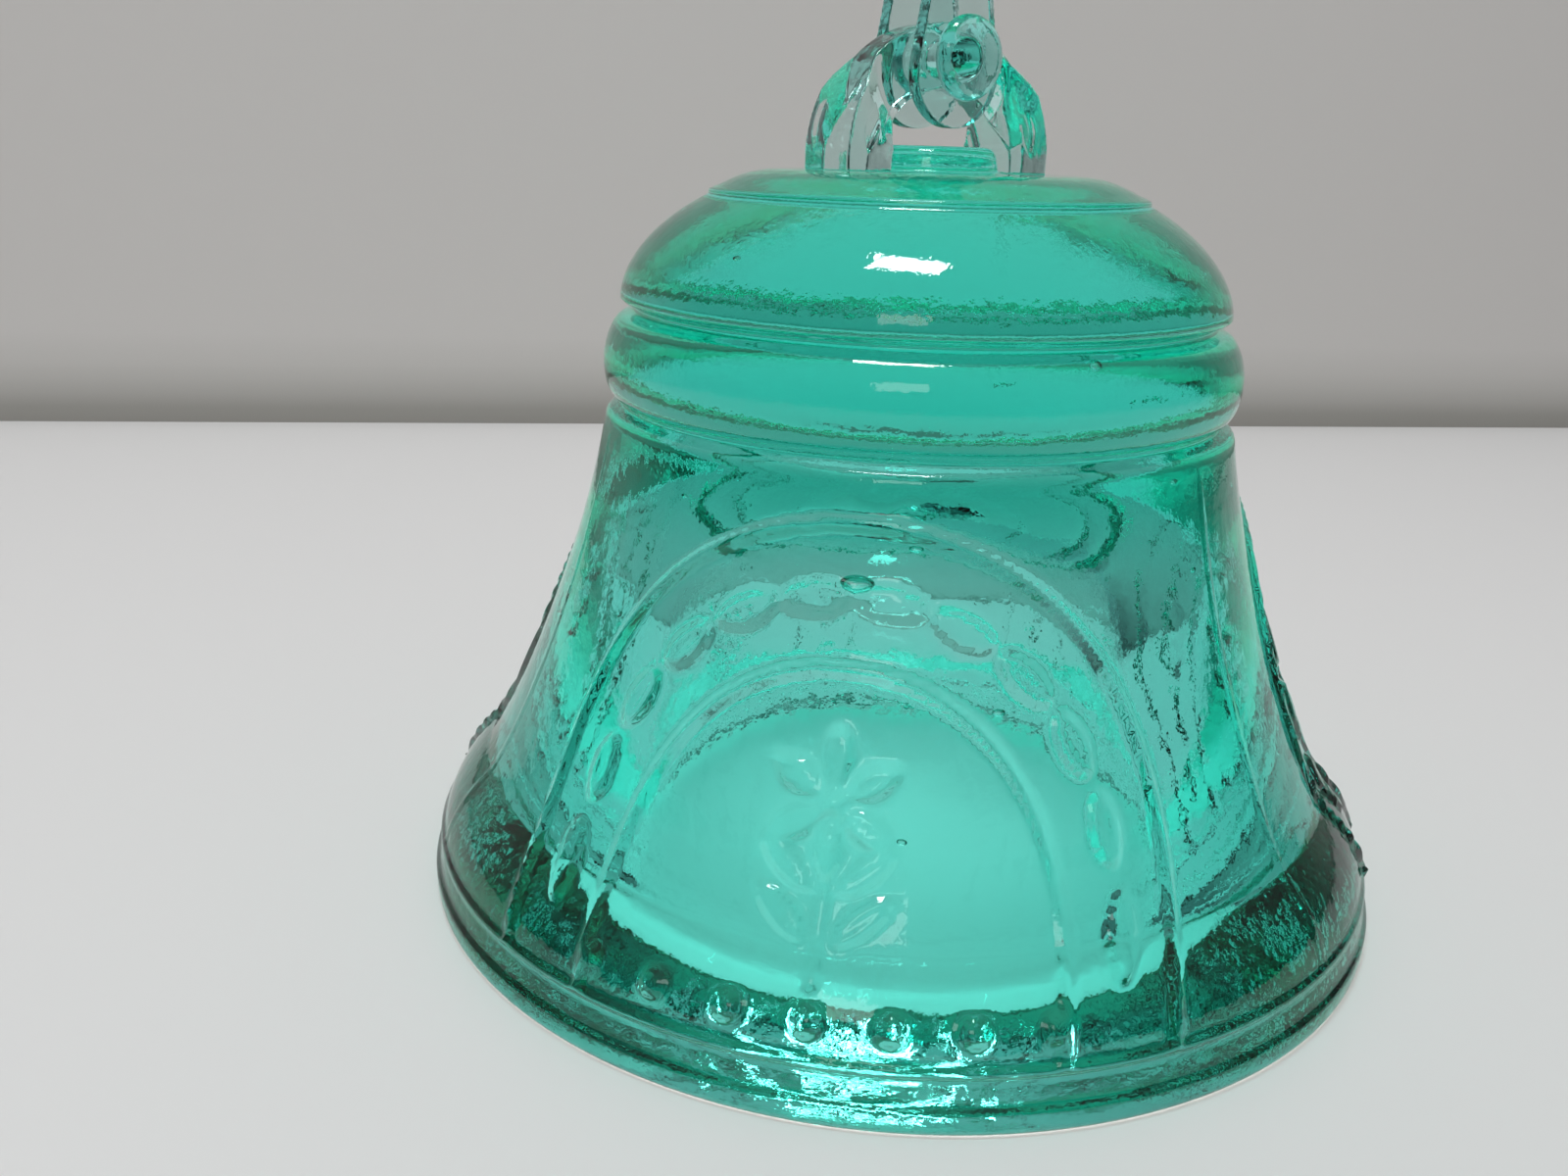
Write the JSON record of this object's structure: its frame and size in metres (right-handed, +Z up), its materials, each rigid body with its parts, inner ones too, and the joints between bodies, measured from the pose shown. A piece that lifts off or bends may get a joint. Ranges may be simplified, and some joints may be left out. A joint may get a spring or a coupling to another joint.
{
  "type": "glass bell",
  "caption": "Heavy pressed-glass bell with a solid banded dome, a short tapered hollow, a flared foot, low moulded ornament, a crown loop and a pinned hanger fork with a hanging eye.",
  "frame": {"origin": "centre of the bell's mouth, on the surface it stands on", "axes": "+Z up along the bell's axis; the crown loop lies in the XZ plane; the hanger pin runs along Y with its round front head towards -Y"},
  "size_m": [0.1, 0.1, 0.1036],
  "materials": {
    "teal_glass": "fire-polished, clear, through-coloured teal green",
    "pale_glass": "fire-polished, clear, the same teal glass seen pale where it is thin"
  },
  "bodies": {
    "bell": {"bell_shell": "teal_glass", "crown_loop": "teal_glass"},
    "hanger": {"hanger_fork": "pale_glass"},
    "pin": {"hanger_pin": "pale_glass", "pin_cap": "pale_glass"}
  },
  "joints": [
    {"name": "hanger_swing", "type": "hinge", "parent": "bell", "child": "hanger", "pos_m": [0, 0, 0.0822], "axis": [0, 1, 0], "range_deg": [-60, 60]},
    {"name": "pin_spin", "type": "hinge", "parent": "hanger", "child": "pin", "pos_m": [0, 0, 0.0822], "axis": [0, 1, 0], "continuous": true}
  ]
}
